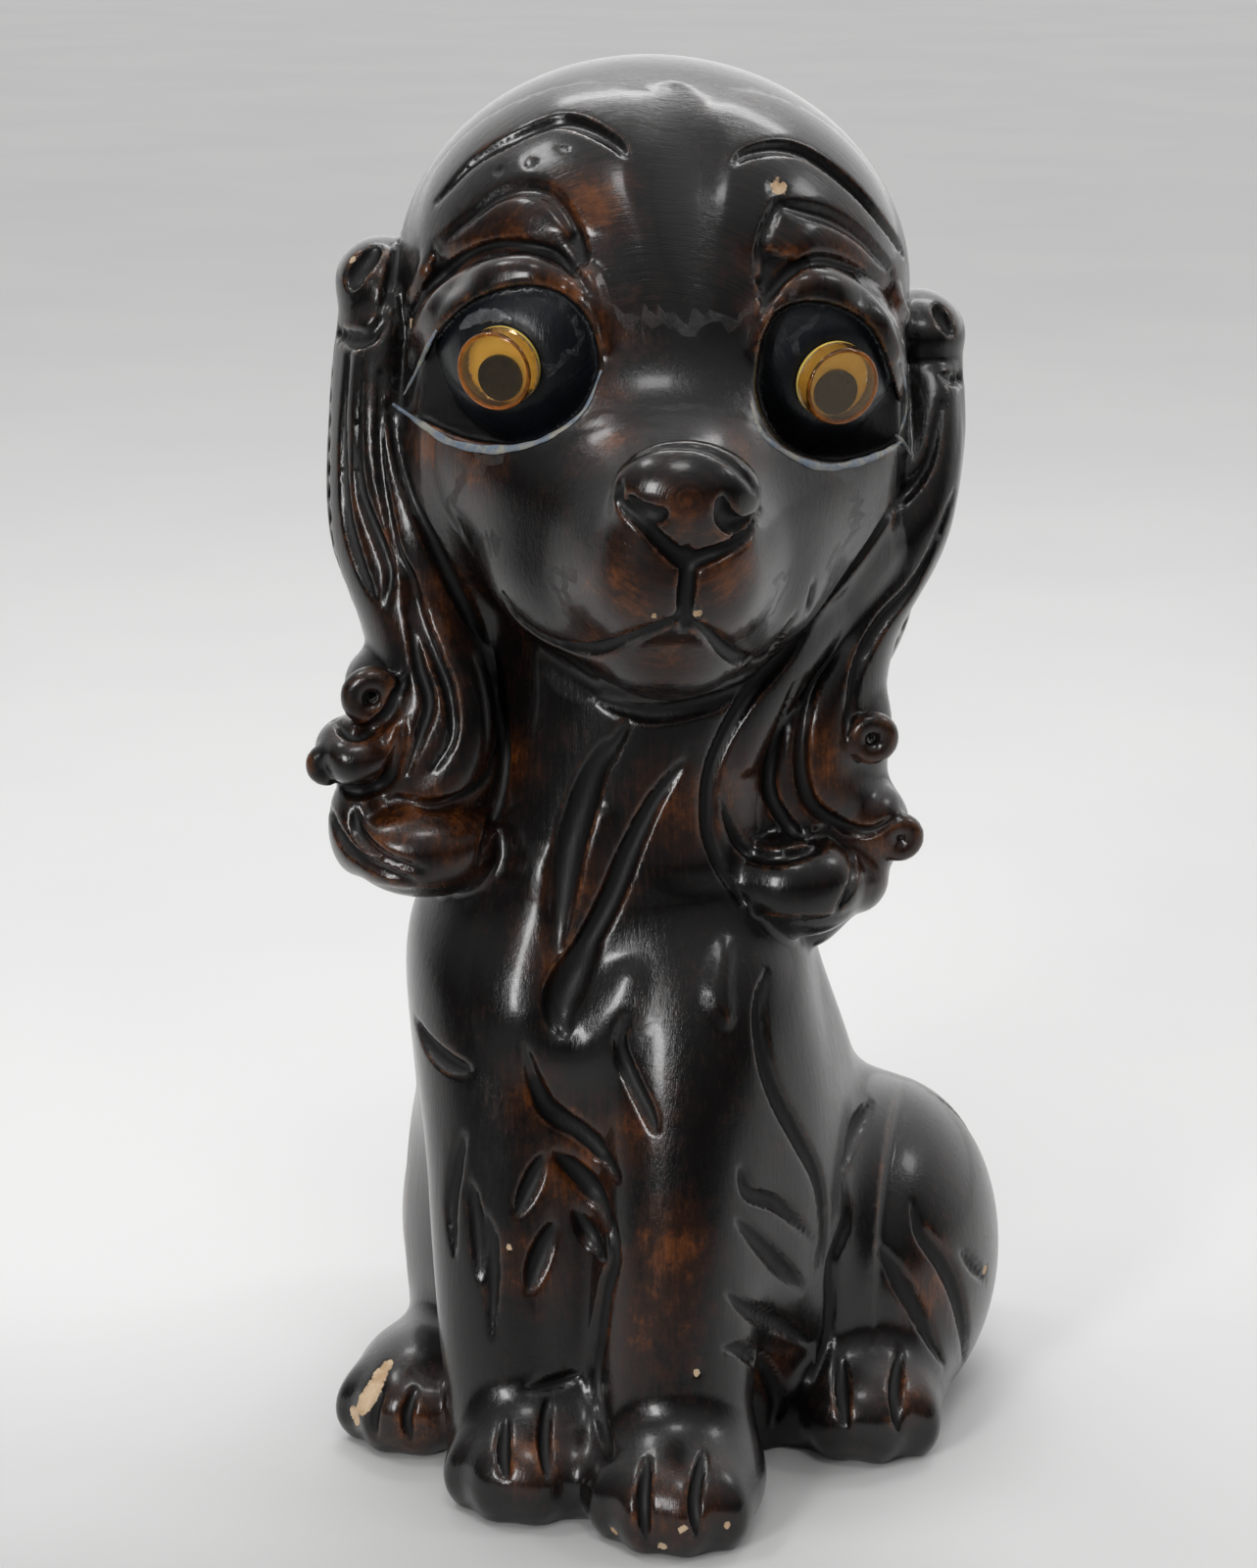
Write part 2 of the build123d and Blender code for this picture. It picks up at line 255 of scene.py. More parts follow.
GROOVES = {
    "right forehead fold": (1.4, 1.8, (
        (442, 220), (479, 180), (515, 158), (555, 140), (577, 136), (602, 144), (628, 160), (638, 173),
    )),
    "right brow fold": (1.3, 1, (
        (440, 268), (471, 242), (500, 218), (529, 207), (555, 211), (573, 228), (588, 254), (598, 282),
    )),
    "right lid fold": (1, 1.5, (
        (411, 350), (428, 316), (458, 288), (490, 271), (522, 266), (555, 272), (582, 290), (602, 318),
    )),
    "forehead valley": (7, 1.2, ((690, 105), (688, 160), (690, 215), (695, 270), (702, 340))),
    "forehead furrow": (0.9, 0.5, ((697, 184), (697, 216), (702, 249), (709, 278), (717, 307))),
    "left forehead fold": (1.4, 1.8, (
        (751, 180), (769, 169), (798, 164), (824, 169), (853, 187), (882, 213), (911, 249), (929, 278),
    )),
    "left brow fold": (1.4, 1.2, ((796, 224), (825, 230), (855, 239), (885, 259), (914, 294))),
    "left inner brow fold": (1.2, 1, ((800, 216), (792, 234), (781, 262), (773, 300))),
    "left lid fold": (1, 1.5, (
        (777, 348), (790, 314), (812, 291), (840, 281), (868, 287), (894, 307), (914, 338), (928, 368),
    )),
    "nose crease": (0.9, 0.8, (
        (641, 490), (665, 478), (689, 474), (716, 476), (743, 488), (764, 508), (777, 527),
    )),
    "round the nose": (1.2, 2, (
        (633, 514), (631, 535), (657, 560), (688, 587), (703, 596), (719, 592), (745, 582), (768, 567),
        (778, 540),
    )),
    "right nostril": (1.3, 2.4, ((640, 530), (652, 543), (668, 549), (679, 545))),
    "left nostril": (1.3, 2.4, ((739, 530), (742, 550), (756, 560), (775, 548))),
    "philtrum": (1.1, 1.9, ((703, 580), (703, 612), (701, 640), (699, 668))),
    "mouth, right": (1, 1.7, (
        (512, 630), (523, 650), (545, 669), (572, 682), (599, 687), (625, 682), (657, 671), (680, 660),
        (706, 650),
    )),
    "mouth, left": (1, 1.7, (
        (692, 650), (719, 667), (737, 684), (754, 695), (772, 697), (790, 687), (815, 650),
    )),
    "left cheek crease": (0.7, 0.9, ((835, 613), (831, 634), (828, 648))),
    "under the lip": (1.6, 1.2, ((612, 738), (640, 747), (672, 751), (723, 742), (759, 727), (795, 699))),
    "jaw": (2.4, 0.7, ((552, 686), (575, 708), (604, 726))),
    "right ear, inner edge": (1.4, 1.7, (
        (393, 430), (411, 514), (443, 586), (479, 653), (501, 712), (511, 766), (511, 815), (502, 856),
        (487, 905),
    )),
    "right ear, outer lock": (1.1, 1.4, ((351, 370), (345, 460), (348, 541), (362, 595), (378, 630))),
    "right ear, second lock": (1, 1.2, (
        (364, 380), (360, 469), (364, 523), (385, 577), (394, 608), (389, 640),
    )),
    "right ear, band back": (1.1, 1.5, (
        (384, 400), (384, 487), (398, 577), (414, 613), (427, 658), (440, 690), (455, 730), (458, 775),
        (440, 808),
    )),
    "right ear, mid lock": (1, 1.3, (
        (408, 600), (416, 658), (424, 703), (434, 739), (425, 775), (411, 815),
    )),
    "right ear, swirl": (1.2, 1.7, ((398, 838), (438, 846), (470, 839), (495, 818), (506, 790))),
    "right ear, over the roll": (1.3, 1.6, ((337, 757), (357, 773), (389, 757), (402, 734), (411, 712))),
    "right ear, under the roll": (1.3, 1.6, ((335, 822), (357, 832), (389, 822), (402, 795), (407, 757))),
    "right ear, low leaf": (1.2, 1.5, ((330, 848), (344, 883), (371, 908), (420, 926))),
    "right ear, low lobe": (1.1, 1.4, ((357, 850), (362, 876), (387, 900), (430, 914))),
    "left ear, inner edge": (1.4, 1.7, (
        (966, 430), (951, 492), (918, 537), (886, 586), (841, 645), (805, 690), (769, 730), (742, 775),
        (726, 820), (724, 870), (737, 910), (760, 946),
    )),
    "left ear, outer lock": (1.1, 1.4, (
        (980, 520), (958, 580), (935, 622), (905, 656), (882, 697), (872, 744), (868, 775),
    )),
    "left ear, long lock": (1.2, 1.7, (
        (854, 690), (829, 730), (819, 784), (823, 829), (841, 856), (886, 874), (920, 858),
    )),
    "left ear, second lock": (1.1, 1.5, (
        (814, 722), (794, 780), (787, 825), (798, 856), (823, 879), (848, 868),
    )),
    "left ear, lobe": (1.2, 1.6, ((738, 840), (758, 884), (787, 899), (832, 890), (852, 866))),
    "left ear, lobe side": (1.1, 1.4, ((846, 872), (872, 893), (876, 924), (857, 958))),
    "right knob": (2.2, 2.8, ((352, 306), (361, 287), (380, 268))),
    "right knob neck": (1.6, 1.6, ((333, 350), (350, 362), (370, 360), (388, 342))),
    "left knob neck": (1.2, 1.3, ((994, 396), (982, 404), (966, 400))),
    "right knob edge": (1, 1.2, ((402, 262), (396, 300), (384, 340))),
    "left knob": (1.4, 2, ((962, 326), (969, 340), (977, 356))),
    "chest leaf": (2.8, 2.2, ((616, 783), (597, 830), (580, 890), (571, 950), (566, 1002))),
    "chest leaf, tip": (1.2, 1, ((640, 762), (622, 790), (606, 818))),
    "chest blade": (1.9, 1.8, (
        (698, 803), (668, 843), (643, 893), (624, 940), (600, 985), (577, 1015), (560, 1042),
    )),
    "chest pocket": (3, 2, ((604, 985), (582, 1022), (570, 1052), (572, 1082))),
    "chest dart": (1.3, 1.3, ((639, 1065), (632, 1095), (645, 1131), (662, 1164), (670, 1185))),
    "breast stroke": (1.6, 1.8, (
        (533, 1096), (543, 1131), (559, 1161), (592, 1184), (614, 1207), (630, 1232),
    )),
    "right leg leaf": (1.6, 1.5, ((553, 1211), (541, 1238), (527, 1268))),
    "right leg second leaf": (1.8, 1.6, ((566, 1208), (590, 1228), (611, 1254), (620, 1280))),
    "right leg third leaf": (1.9, 1.7, ((563, 1282), (550, 1314), (539, 1347))),
    "right leg fourth leaf": (1.4, 1.3, ((587, 1268), (602, 1291), (616, 1315))),
    "leg divide": (1.6, 2, (
        (622, 1270), (626, 1313), (617, 1349), (610, 1399), (606, 1432), (612, 1475), (622, 1520),
    )),
    "right flank leaf": (1.6, 1.6, ((420, 1068), (434, 1094), (454, 1112), (477, 1121))),
    "right flank fold": (1.4, 1.2, ((470, 1188), (462, 1221), (457, 1262), (460, 1310))),
    "right flank second fold": (1.3, 1.2, ((478, 1238), (484, 1283), (488, 1335))),
    "right flank third fold": (1.3, 1.2, ((493, 1270), (500, 1312), (500, 1395))),
    "left flank line": (1.5, 1.6, (
        (785, 1019), (777, 1056), (783, 1110), (797, 1150), (817, 1188), (838, 1230), (845, 1274),
        (842, 1318),
    )),
    "left flank second line": (1.2, 1.3, (
        (863, 1215), (867, 1272), (853, 1318), (852, 1360), (848, 1397), (835, 1440),
    )),
    "left leg leaf": (1.4, 1.4, ((758, 1222), (768, 1248), (800, 1262), (832, 1294))),
    "left leg second leaf": (1.7, 1.4, ((755, 1276), (778, 1299), (804, 1327), (822, 1345))),
    "left leg third leaf": (1.5, 1.4, ((745, 1353), (771, 1371), (804, 1386), (829, 1403))),
    "elbow curl": (1.6, 1.5, ((742, 1408), (764, 1412), (785, 1432), (796, 1462), (790, 1486))),
    "haunch line": (1.8, 1.4, (
        (937, 1256), (946, 1288), (967, 1318), (982, 1350), (990, 1390), (990, 1420),
    )),
    "haunch second line": (1.8, 1.4, ((903, 1304), (922, 1337), (944, 1374), (968, 1422))),
    "haunch short line": (1.3, 1, ((986, 1306), (1000, 1322), (1012, 1336))),
    "haunch edge": (1.8, 1.5, ((893, 1152), (874, 1188), (866, 1222))),
    "right fore toe": (1, 1.5, ((514, 1483), (511, 1515), (514, 1543))),
    "right fore second toe": (1, 1.5, ((558, 1463), (555, 1503), (559, 1545))),
    "right fore instep": (1, 0.9, ((536, 1452), (563, 1446), (590, 1436))),
    "left fore toe": (1, 1.6, ((661, 1522), (656, 1567), (659, 1612))),
    "left fore second toe": (1, 1.6, ((719, 1516), (711, 1564), (713, 1606))),
    "left hind toe": (1.1, 1.6, ((861, 1419), (862, 1452), (866, 1487))),
    "left hind second toe": (1.1, 1.6, ((923, 1409), (919, 1452), (922, 1493))),
    "right hind toe": (1, 1.3, ((388, 1446), (376, 1478), (378, 1500))),
    "right hind second toe": (1, 1.3, ((420, 1450), (412, 1480), (416, 1508))),
}
GROOVE_SOFTEN = 0.7
RIDGE_SOFTEN = 2.2
STROKE_STEP = 4.0
STROKE_ENDS = (0.03, 0.97)
STROKE_SWELL = 0.5
STROKE_REACH = 2.0
OUTLINE_STEP = 8.0

# Strokes on the sides that the photograph doesn't show. Angles run round from the dog's left over its back.
LEAF_WIDTH = 1.6
LEAF_DEPTH = 1.5
LEAF_LENGTH = 25.0
LEAF_SWAY = 9.0
LEAF_POINTS = 14
BACK_LEAVES = ((128, (70, 105)), (112, (45, 88, 130)), (92, (25, 62, 108, 150)), (70, (48, 86, 126)))
# Long strokes down the outer side of the ears: top and bottom in the head's frame, angles
EAR_FOLDS = {
    "right": (-6, -52, (100, 140, 180)),
    "left": (-10, -50, (0, 40, 80)),
}
# Strokes on the haunches: angles of their tops
HAUNCH_FOLDS = ((140, 165, 190, 212), (25, 50, 75))
FOLD_TOP = 62.0
FOLD_BOTTOM = -8.0

# Chips in the stain, on the photograph's pixels: across, down, radius in millimetres
CHIPS = (
    (539, 181, 0.9), (507, 189, 0.8), (575, 167, 0.7), (795, 207, 1.9), (414, 346, 1), (355, 280, 0.7),
    (364, 377, 0.6), (713, 650, 0.9), (669, 652, 0.7), (390, 1425, 1.4), (384, 1435, 1.7), (377, 1446, 1.9),
    (370, 1457, 1.9), (364, 1467, 1.9), (358, 1477, 1.8), (626, 1600, 1.1), (676, 1615, 0.9),
    (699, 1598, 1), (744, 1593, 0.8), (713, 1435, 0.6), (517, 1304, 0.5), (1012, 1325, 1), (925, 1120, 1),
)
CHIP_DEPTH = 0.35
CHIP_SPREAD = 1.5

# Places where the stain is thin and warm: across, down, radius in millimetres
WARM_SPOTS = (
    (606, 221, 6), (520, 262, 7), (579, 309, 5), (617, 351, 6), (430, 343, 7), (470, 285, 7), (615, 420, 5),
    (430, 470, 7), (480, 500, 7), (793, 290, 6), (870, 285, 6), (915, 320, 6), (780, 350, 4), (620, 470, 5),
    (760, 480, 5), (701, 560, 6), (625, 610, 8), (650, 640, 7), (745, 610, 8), (600, 670, 6), (690, 695, 6),
    (745, 665, 6), (395, 560, 6), (440, 640, 8), (400, 790, 8), (420, 860, 9), (460, 880, 8), (520, 800, 6),
    (905, 890, 8), (860, 800, 8), (760, 820, 8), (590, 930, 7), (560, 1000, 5), (690, 850, 8),
    (590, 1230, 9), (560, 1330, 8), (690, 1300, 8), (670, 1400, 9), (640, 1180, 8), (540, 1150, 6),
    (690, 1572, 8), (548, 1513, 6), (430, 1480, 7), (930, 1440, 6), (960, 1350, 8), (790, 1430, 6),
)
WARM_SPREAD = 1.6

# Pale paint along the lids, and the film of glue above the right drum
LID_LINES = {
    "right_lid_line": (0.66, (
        (397, 430), (428, 452), (456, 470), (495, 478), (535, 474), (568, 460), (596, 436), (613, 396),
    )),
    "right_lid_line_outer": (0.42, ((408, 421), (420, 399), (431, 375), (442, 354))),
    "left_lid_line": (0.6, (
        (769, 430), (780, 461), (806, 482), (840, 496), (876, 492), (907, 480), (926, 468),
    )),
    "left_lid_line_fork": (0.42, ((918, 462), (927, 470), (935, 484))),
    "left_lid_line_outer": (0.52, ((922, 462), (929, 440), (929, 415), (924, 389))),
}
LINE_HEIGHT = 0.22
LINE_STEP = 3.0
SMEAR = ((466, 352), (482, 342), (502, 339), (522, 345))
SMEAR_WIDTH = 1.1
SMEAR_HEIGHT = 0.25
BEAD_SIDES = 10
BEAD_ENDS = (0.02, 0.98)
BEAD_SWELL = 0.35
# Unevenness of a bead: how much, and its two rates along the bead
BEAD_WAVE = (0.22, 17, 41)

# Values on the dog's points. NORMAL_STEP is in steps of the grid.
NORMAL_STEP = 0.9
EDGE_STEP = 1.0
EYE_EDGE = 0.35
SEAT_RADIUS = 7.2
RAW_EDGE = 0.7
BRUSH_RUN = 0.09
BRUSH_EDGE = 1.5
BRUSH_MIDDLE = 10.0

# Colours of the stain, and of the plaster and the eyeballs under it
STAIN = {
    "dark": (0.0042, 0.0034, 0.0032),
    "brown": (0.034, 0.0108, 0.0042),
    "rust": (0.150, 0.044, 0.009),
    "worn": (0.20, 0.075, 0.028),
    "pooled": (0.0035, 0.003, 0.003),
}
CHIP_TONES = ((0.50, 0.33, 0.19), (0.66, 0.50, 0.34))
GLAZE_TONES = ((0.0045, 0.0055, 0.0075), (0.009, 0.0105, 0.014))
BARE_TONES = ((0.56, 0.49, 0.39), (0.74, 0.68, 0.58))

# Stage and light
FLOOR_REACH = 12000.0
FLOOR_TONES = ((0.72, 0.725, 0.72), (0.75, 0.75, 0.745))
# The floor turns grey in front of the picture, from one depth to another: painted shade, standing in for the
# unlit floor in front of the figure
FLOOR_SHADE_DEPTHS = (40.0, -330.0)
FLOOR_PAINTED_SHADE = (0.11, 0.11, 0.11)
SKY_COLOUR = (1.0, 1.0, 1.0)
# Brightness of the surroundings by height and by depth: from, to, least, most
SKY = {"Z": (0.10, 0.95, 0.02, 0.55), "Y": (0.0, 1.0, 0.0, 1.30)}
# Softboxes: place, aim, width, height, brightness
SOFTBOXES = {
    "behind": ((0, 480, 860), (0, 0, 170), 720, 115, 8.0),
    "above_front": ((100, -430, 957), (0, 0, 170), 230, 160, 9.0),
    "above_right": ((-470, -83, 933), (0, 0, 170), 230, 160, 11.0),
    "front": ((-240, -730, 340), (0, 0, 110), 150, 280, 18.0),
    "left_side": ((659, 116, 732), (0, 0, 130), 170, 170, 7.0),
}
# The viewer's step from the photograph's camera: to its right, up and back. It keeps the paws in the picture.
VIEW_STEP = (0.0, -3.6, 9.0)
CLIP_START = 10.0

# How far each kind of form blends into those before it
BLENDS = {
    "trunk": 1.0, "leg": 7.0, "elbow": 9.0, "haunch": 11.0, "tail": 5.0, "paw": 6.0, "toe": 3.0,
    "ear bed": 6.0, "muzzle": 10.0, "ear": 1.2, "ear root": 1.5, "lock": 2.0, "ringlet": 0.8,
    "lid": 3.0, "chip": 0.2, "eye gap": 1.0, "eyeball": 0.3, "hollow": 1.0,
}
# Spacing of the levels between a column's sections, and the rounding of its ends
SECTION_STEP = 0.25
ROUND_END = 3.0

# How a point, or a ray of the camera, comes to rest on the surface. OUT_STEP is in steps of the grid.
SETTLE_STEPS = 10
SETTLE_SHARE = 0.5
OUT_STEP = 3.0
RAY_START = 160.0
RAY_STEPS = 190
RAY_SHARE = 0.8
RAY_STEP = (0.02, 2.0)
RAY_NEAR = 0.05
LEAST_STEEP = 1e-4
LEAST_SLOPE = 1e-6
GUARD = 1e-9

X, Y, Z = range(3)


def turn(axis, degrees):
    """The matrix of a turn about one axis."""
    a, b = (axis + 1) % 3, (axis + 2) % 3
    matrix = np.eye(3)
    matrix[a, a] = matrix[b, b] = math.cos(math.radians(degrees))
    matrix[b, a] = math.sin(math.radians(degrees))
    matrix[a, b] = -matrix[b, a]
    return matrix


def smooth_min(a, b, blend):
    overlap = np.maximum(blend - np.abs(a - b), 0) / blend
    return np.minimum(a, b) - overlap * overlap * blend / 4


def smooth_max(a, b, blend):
    return -smooth_min(-a, -b, blend)


def ramp(value, low, high):
    """Rises smoothly from 0 at low to 1 at high."""
    share = np.clip((value - low) / (high - low), 0, 1)
    return share * share * (3 - 2 * share)


def flowing(points, step):
    """Points spaced along a smooth line through a few given ones."""
    given = np.array(points, float)
    length = np.linalg.norm(np.diff(given, axis=0), axis=1).sum()
    ends = np.vstack((2 * given[0] - given[1], given, 2 * given[-1] - given[-2]))
    place = np.linspace(0, len(given) - 1, max(int(length / step), 4))
    first = np.minimum(place.astype(int), len(given) - 2)
    part = (place - first)[:, None]
    a, b, c, d = (ends[first + n] for n in range(4))
    return b + 0.5 * part * (c - a + part * (2 * a - 5 * b + 4 * c - d + part * (3 * (b - c) + d - a)))


class PhotoCamera:
    """The photograph's camera: where a pixel looks, and on which pixel a point falls."""

    def __init__(self):
        azimuth, elevation = math.radians(AZIMUTH), math.radians(ELEVATION)
        level = math.cos(elevation)
        self.back = np.array((math.sin(azimuth) * level, -math.cos(azimuth) * level, math.sin(elevation)))
        self.place = np.array(TARGET) + DISTANCE * self.back
        self.right = np.array((math.cos(azimuth), math.sin(azimuth), 0.0))
        self.up = np.cross(self.back, self.right)

    def rays(self, pixels):
        across = (pixels[:, 0] - PHOTO_WIDTH / 2) / FOCAL
        down = (pixels[:, 1] - PHOTO_HEIGHT / 2) / FOCAL
        rays = across[:, None] * self.right - down[:, None] * self.up - self.back
        return rays / np.linalg.norm(rays, axis=1)[:, None]

    def pixels(self, x, y, z):
        x, y, z = x - self.place[0], y - self.place[1], z - self.place[2]
        depth = -(x * self.back[0] + y * self.back[1] + z * self.back[2])
        across = x * self.right[0] + y * self.right[1] + z * self.right[2]
        height = x * self.up[0] + y * self.up[1] + z * self.up[2]
        return PHOTO_WIDTH / 2 + FOCAL * across / depth, PHOTO_HEIGHT / 2 - FOCAL * height / depth

    def pixel_size(self, point):
        """How many millimetres one pixel spans at a point's distance."""
        return np.linalg.norm(self.place - point) / FOCAL


class Place:
    """An origin and three axes, the columns of a matrix."""

    def __init__(self, origin, axes):
        self.origin = np.array(origin, float)
        self.axes = np.array(axes, float)

    def local(self, x, y, z):
        x, y, z = x - self.origin[0], y - self.origin[1], z - self.origin[2]
        return [x * a[0] + y * a[1] + z * a[2] for a in self.axes.T.astype(np.float32)]

    def point(self, local):
        return self.origin + self.axes @ np.array(local, float)


class Field:
    """Distances to the surface on a regular grid, negative inside."""

    def __init__(self, pitch):
        self.low = np.array(GRID_LOW)
        self.pitch = pitch
        self.shape = tuple(int(n) for n in np.ceil((np.array(GRID_HIGH) - self.low) / pitch) + 1)
        self.value = np.full(self.shape, FAR, np.float32)

    def copy(self):
        twin = Field(self.pitch)
        twin.value = self.value.copy()
        return twin

    def window(self, low, high):
        """The part of the grid in a box: its slices, and its coordinates."""
        end = np.array(self.shape)
        first = np.floor((np.array(low) - self.low) / self.pitch)
        first = np.clip(first, 0, end - 2).astype(int)
        last = np.ceil((np.array(high) - self.low) / self.pitch) + 1
        last = np.clip(last, first + 1, end).astype(int)
        steps = [np.arange(a, b) for a, b in zip(first, last)]
        axes = [(start + self.pitch * step).astype(np.float32) for start, step in zip(self.low, steps)]
        cut = tuple(slice(a, b) for a, b in zip(first, last))
        return cut, np.meshgrid(*axes, indexing="ij", sparse=True)

    def join(self, form, blend):
        low, high, distance = form
        cut, grid = self.window(low - blend, high + blend)
        self.value[cut] = smooth_min(self.value[cut], distance(*grid), blend)

    def cut(self, form, blend):
        low, high, distance = form
        cut, grid = self.window(low - blend, high + blend)
        self.value[cut] = smooth_max(self.value[cut], -distance(*grid), blend)

    def sample(self, points):
        at = (points - self.low) / self.pitch
        cell = np.clip(np.floor(at).astype(int), 0, np.array(self.shape) - 2)
        part = np.clip(at - cell, 0, 1)
        total = np.zeros(len(points))
        for corner in np.ndindex(2, 2, 2):
            weight = np.prod(np.where(corner, part, 1 - part), axis=1)
            i, j, k = (cell + corner).T
            total += weight * self.value[i, j, k]
        return total

    def slope(self, points, step):
        sides = np.eye(3) * step
        slope = np.stack([self.sample(points + side) - self.sample(points - side) for side in sides], 1)
        return slope / np.maximum(np.linalg.norm(slope, axis=1), LEAST_SLOPE)[:, None]

    def settle(self, points):
        """Points moved on to the surface, and the way out of it."""
        for _ in range(SETTLE_STEPS):
            out = self.slope(points, self.pitch)
            points = points - out * (SETTLE_SHARE * self.sample(points))[:, None]
        return points, self.slope(points, OUT_STEP * self.pitch)

    def land(self, pixels):
        """Where the camera's rays through pixels meet the surface, or pass nearest to it."""
        rays = camera.rays(np.array(pixels, float))
        points = camera.place + rays * (DISTANCE - RAY_START)
        best = points.copy()
        least = np.full(len(points), np.inf)
        for _ in range(RAY_STEPS):
            gap = self.sample(points)
            nearer = (gap < least) & (least > RAY_NEAR)
            best[nearer] = points[nearer]
            least[nearer] = gap[nearer]
            points = points + rays * np.clip(gap * RAY_SHARE, *RAY_STEP)[:, None]
        return self.settle(best)


def ellipsoid(place, centre, radii):
    """An ellipsoid whose radii lie along a place's axes."""
    middle = place.point(centre)
    half = np.sqrt(((place.axes * np.array(radii)) ** 2).sum(1))
    own = Place(middle, place.axes)

    def distance(x, y, z):
        u, v, w = (n / r for n, r in zip(own.local(x, y, z), radii))
        near = np.sqrt(u * u + v * v + w * w)
        steep = np.sqrt((u / radii[0]) ** 2 + (v / radii[1]) ** 2 + (w / radii[2]) ** 2)
        return near * (near - 1) / np.maximum(steep, LEAST_STEEP)

    return middle - half, middle + half, distance


def column(place, sections, inset=0.0):
    """A form through oval sections square to a place's third axis."""
    rows = flowing(sections, SECTION_STEP)
    rows = rows[np.argsort(rows[:, 0])]
    low, high = sections[0][0], sections[-1][0]
    reach = [(row[1] + side * row[3], row[2] + end, row[0])
             for row in sections for side in (-1, 1) for end in (-row[4], row[5])]
    corners = np.array([place.point(corner) for corner in reach])

    def distance(x, y, z):
        u, v, w = place.local(x, y, z)
        sizes = (np.interp(w, rows[:, 0], rows[:, n]).astype(np.float32) for n in range(1, 6))
        middle_x, middle_y, wide, front, back = sizes
        wide = np.maximum(wide - inset, 1)
        u, v = u - middle_x, v - middle_y
        deep = np.maximum(np.where(v < 0, front, back) - inset, 1)
        near = np.sqrt((u / wide) ** 2 + (v / deep) ** 2)
        steep = np.sqrt((u / wide ** 2) ** 2 + (v / deep ** 2) ** 2)
        side = near * (near - 1) / np.maximum(steep, LEAST_STEEP)
        end = np.abs(w - (low + high) / 2) - (high - low) / 2
        return smooth_max(side, end, ROUND_END)

    return corners.min(0), corners.max(0), distance


def ring(middle, facing, radius, thickness):
    """A torus that faces a direction."""
    half = radius + thickness

    def distance(x, y, z):
        x, y, z = x - middle[0], y - middle[1], z - middle[2]
        height = x * facing[0] + y * facing[1] + z * facing[2]
        across = np.sqrt(np.maximum(x * x + y * y + z * z - height * height, 0))
        return np.sqrt((across - radius) ** 2 + height * height) - thickness

    return middle - half, middle + half, distance


def ball(middle, radius):
    """A sphere."""

    def distance(x, y, z):
        return np.sqrt((x - middle[0]) ** 2 + (y - middle[1]) ** 2 + (z - middle[2]) ** 2) - radius

    return middle - radius, middle + radius, distance


def sweep(field, points, out, half_width, depth, soften, raised):
    """One stroke of the modelling tool along points of the surface: a groove, or a ridge where raised."""
    swell = np.sin(np.pi * np.linspace(*STROKE_ENDS, len(points))) ** STROKE_SWELL
    widths, depths = half_width * swell, depth * swell
    radii = (widths ** 2 + depths ** 2) / (2 * depths)
    centres = points + out * ((radii - depths) * (-1 if raised else 1))[:, None]
    reach = half_width + STROKE_REACH
    cut, axes = field.window(points.min(0) - reach, points.max(0) + reach)
    tool = np.full([a.size for a in axes], FAR, np.float32)
    flat = [a.ravel() for a in axes]
    for point, centre, radius in zip(points, centres, radii):
        near = [slice(*np.searchsorted(flat[n], (point[n] - reach, point[n] + reach))) for n in range(3)]
        x, y, z = (flat[n][near[n]] - centre[n] for n in range(3))
        span = np.sqrt(x[:, None, None] ** 2 + y[None, :, None] ** 2 + z[None, None, :] ** 2) - radius
        tool[tuple(near)] = np.minimum(tool[tuple(near)], span)
    if raised:
        field.value[cut] = smooth_min(field.value[cut], tool, soften)
    else:
        field.value[cut] = smooth_max(field.value[cut], -tool, soften)


def line_distance(points, across, down):
    """Distance to a line on the photograph, in pixels."""
    line = flowing(points, OUTLINE_STEP)
    nearest = np.full(across.shape, np.inf, np.float32)
    for (ax, ay), (bx, by) in zip(line[:-1], line[1:]):
        dx, dy = bx - ax, by - ay
        share = ((across - ax) * dx + (down - ay) * dy) / max(dx * dx + dy * dy, GUARD)
        share = np.clip(share, 0, 1)
        nearest = np.minimum(nearest, (across - ax - share * dx) ** 2 + (down - ay - share * dy) ** 2)
    return np.sqrt(nearest)


def within(outline, across, down):
    """Whether pixels lie inside a closed outline on the photograph."""
    line = flowing(outline + outline[:1], OUTLINE_STEP)
    inside = np.zeros(across.shape, bool)
    for (ax, ay), (bx, by) in zip(line[:-1], line[1:]):
        dx, dy = bx - ax, by - ay
        inside ^= ((ay > down) != (by > down)) & (across < ax + (down - ay) * dx / (dy if dy else GUARD))
    return inside


def outline_distance(outline, across, down):
    """Distance to a closed outline on the photograph, in pixels, negative inside it."""
    away = line_distance(outline + outline[:1], across, down)
    return away * np.where(within(outline, across, down), -1, 1)


def eye_place(side):
    """The seat of one drum: its third axis looks out of the head, its first is level."""
    joint = next(j for j in frame["joints"] if j["name"] == f"{side}_pupil_roll")
    axis = np.array(joint["axis"])
    low, high = (np.array(corner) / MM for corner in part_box(f"{side}_eye_glue"))
    level = np.cross((0, 0, 1), axis)
    level /= np.linalg.norm(level)
    seat = (low + high) / 2 - axis * GLUE_THICKNESS / 2
    return Place(seat, np.stack((level, np.cross(axis, level), axis), 1))


def sink_brow(field, side):
    """Lowers the plane under one brow, most along its arch."""
    middle = eyes[side].origin
    cut, grid = field.window(middle - BROW_REACH, middle + BROW_REACH)
    pixels = camera.pixels(*grid)
    away = line_distance(BROW_ARCHES[side], *pixels) * camera.pixel_size(middle)
    under = within(BROW_ARCHES[side] + BROW_FLOORS[side], *pixels)
    field.value[cut] += under * BROW_DEPTH * ramp(away, 0, BROW_EDGE) * (1 - ramp(away, BROW_EDGE, BROW_FADE))


